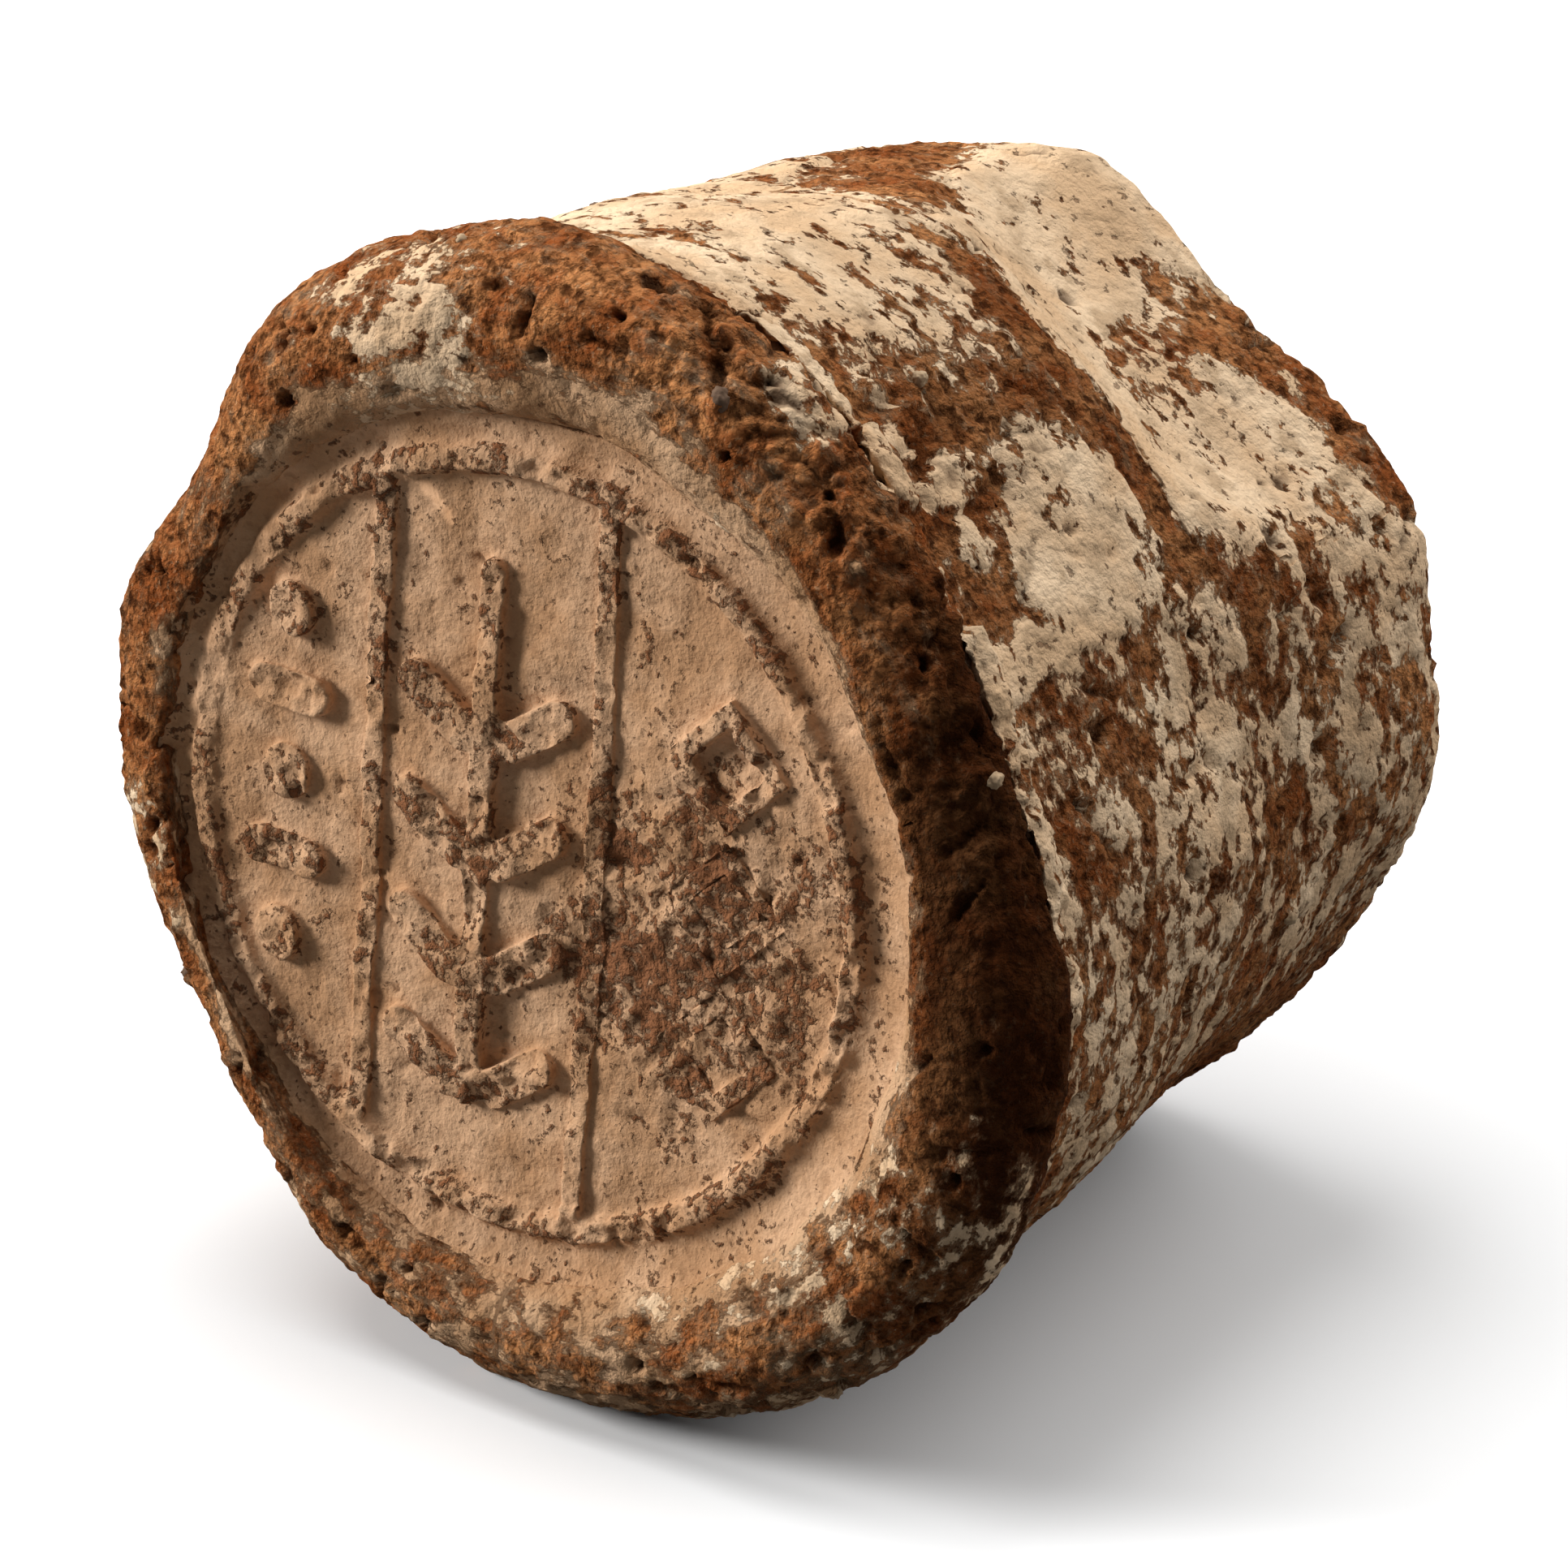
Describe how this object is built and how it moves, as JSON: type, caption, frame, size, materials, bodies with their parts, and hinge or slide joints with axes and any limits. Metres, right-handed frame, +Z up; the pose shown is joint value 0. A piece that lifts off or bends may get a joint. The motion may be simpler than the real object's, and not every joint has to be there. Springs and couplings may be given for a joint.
{
  "type": "egyptian funerary cone",
  "caption": "Hand-formed fired clay cone head: tapered broken shank, rolled collar round a stamped face, lime wash left in patches. Lies on its side.",
  "frame": {"origin": "middle of the drying flat under the collar, on the surface that the cone lies on", "axes": "+Z up from that surface; +Y from the stamped face to the broken end, level; +X to the right of a viewer who faces the stamp"},
  "size_m": [0.0789, 0.0712, 0.0821],
  "materials": {
    "coarse_clay": "coarse fired silt clay, unglazed and matt",
    "fine_clay": "fine fired clay, worn and matt",
    "lime_wash": "cream lime wash, chalky and flaked",
    "grit": "limestone and dark grit"
  },
  "bodies": {
    "root": {"shank": "coarse_clay", "head_collar": "coarse_clay", "stamped_pad": "fine_clay", "shank_wash": "lime_wash", "hollow_wash": "lime_wash", "collar_wash": "lime_wash", "seam_fill": "lime_wash", "temper_grit": "grit"}
  },
  "joints": []
}
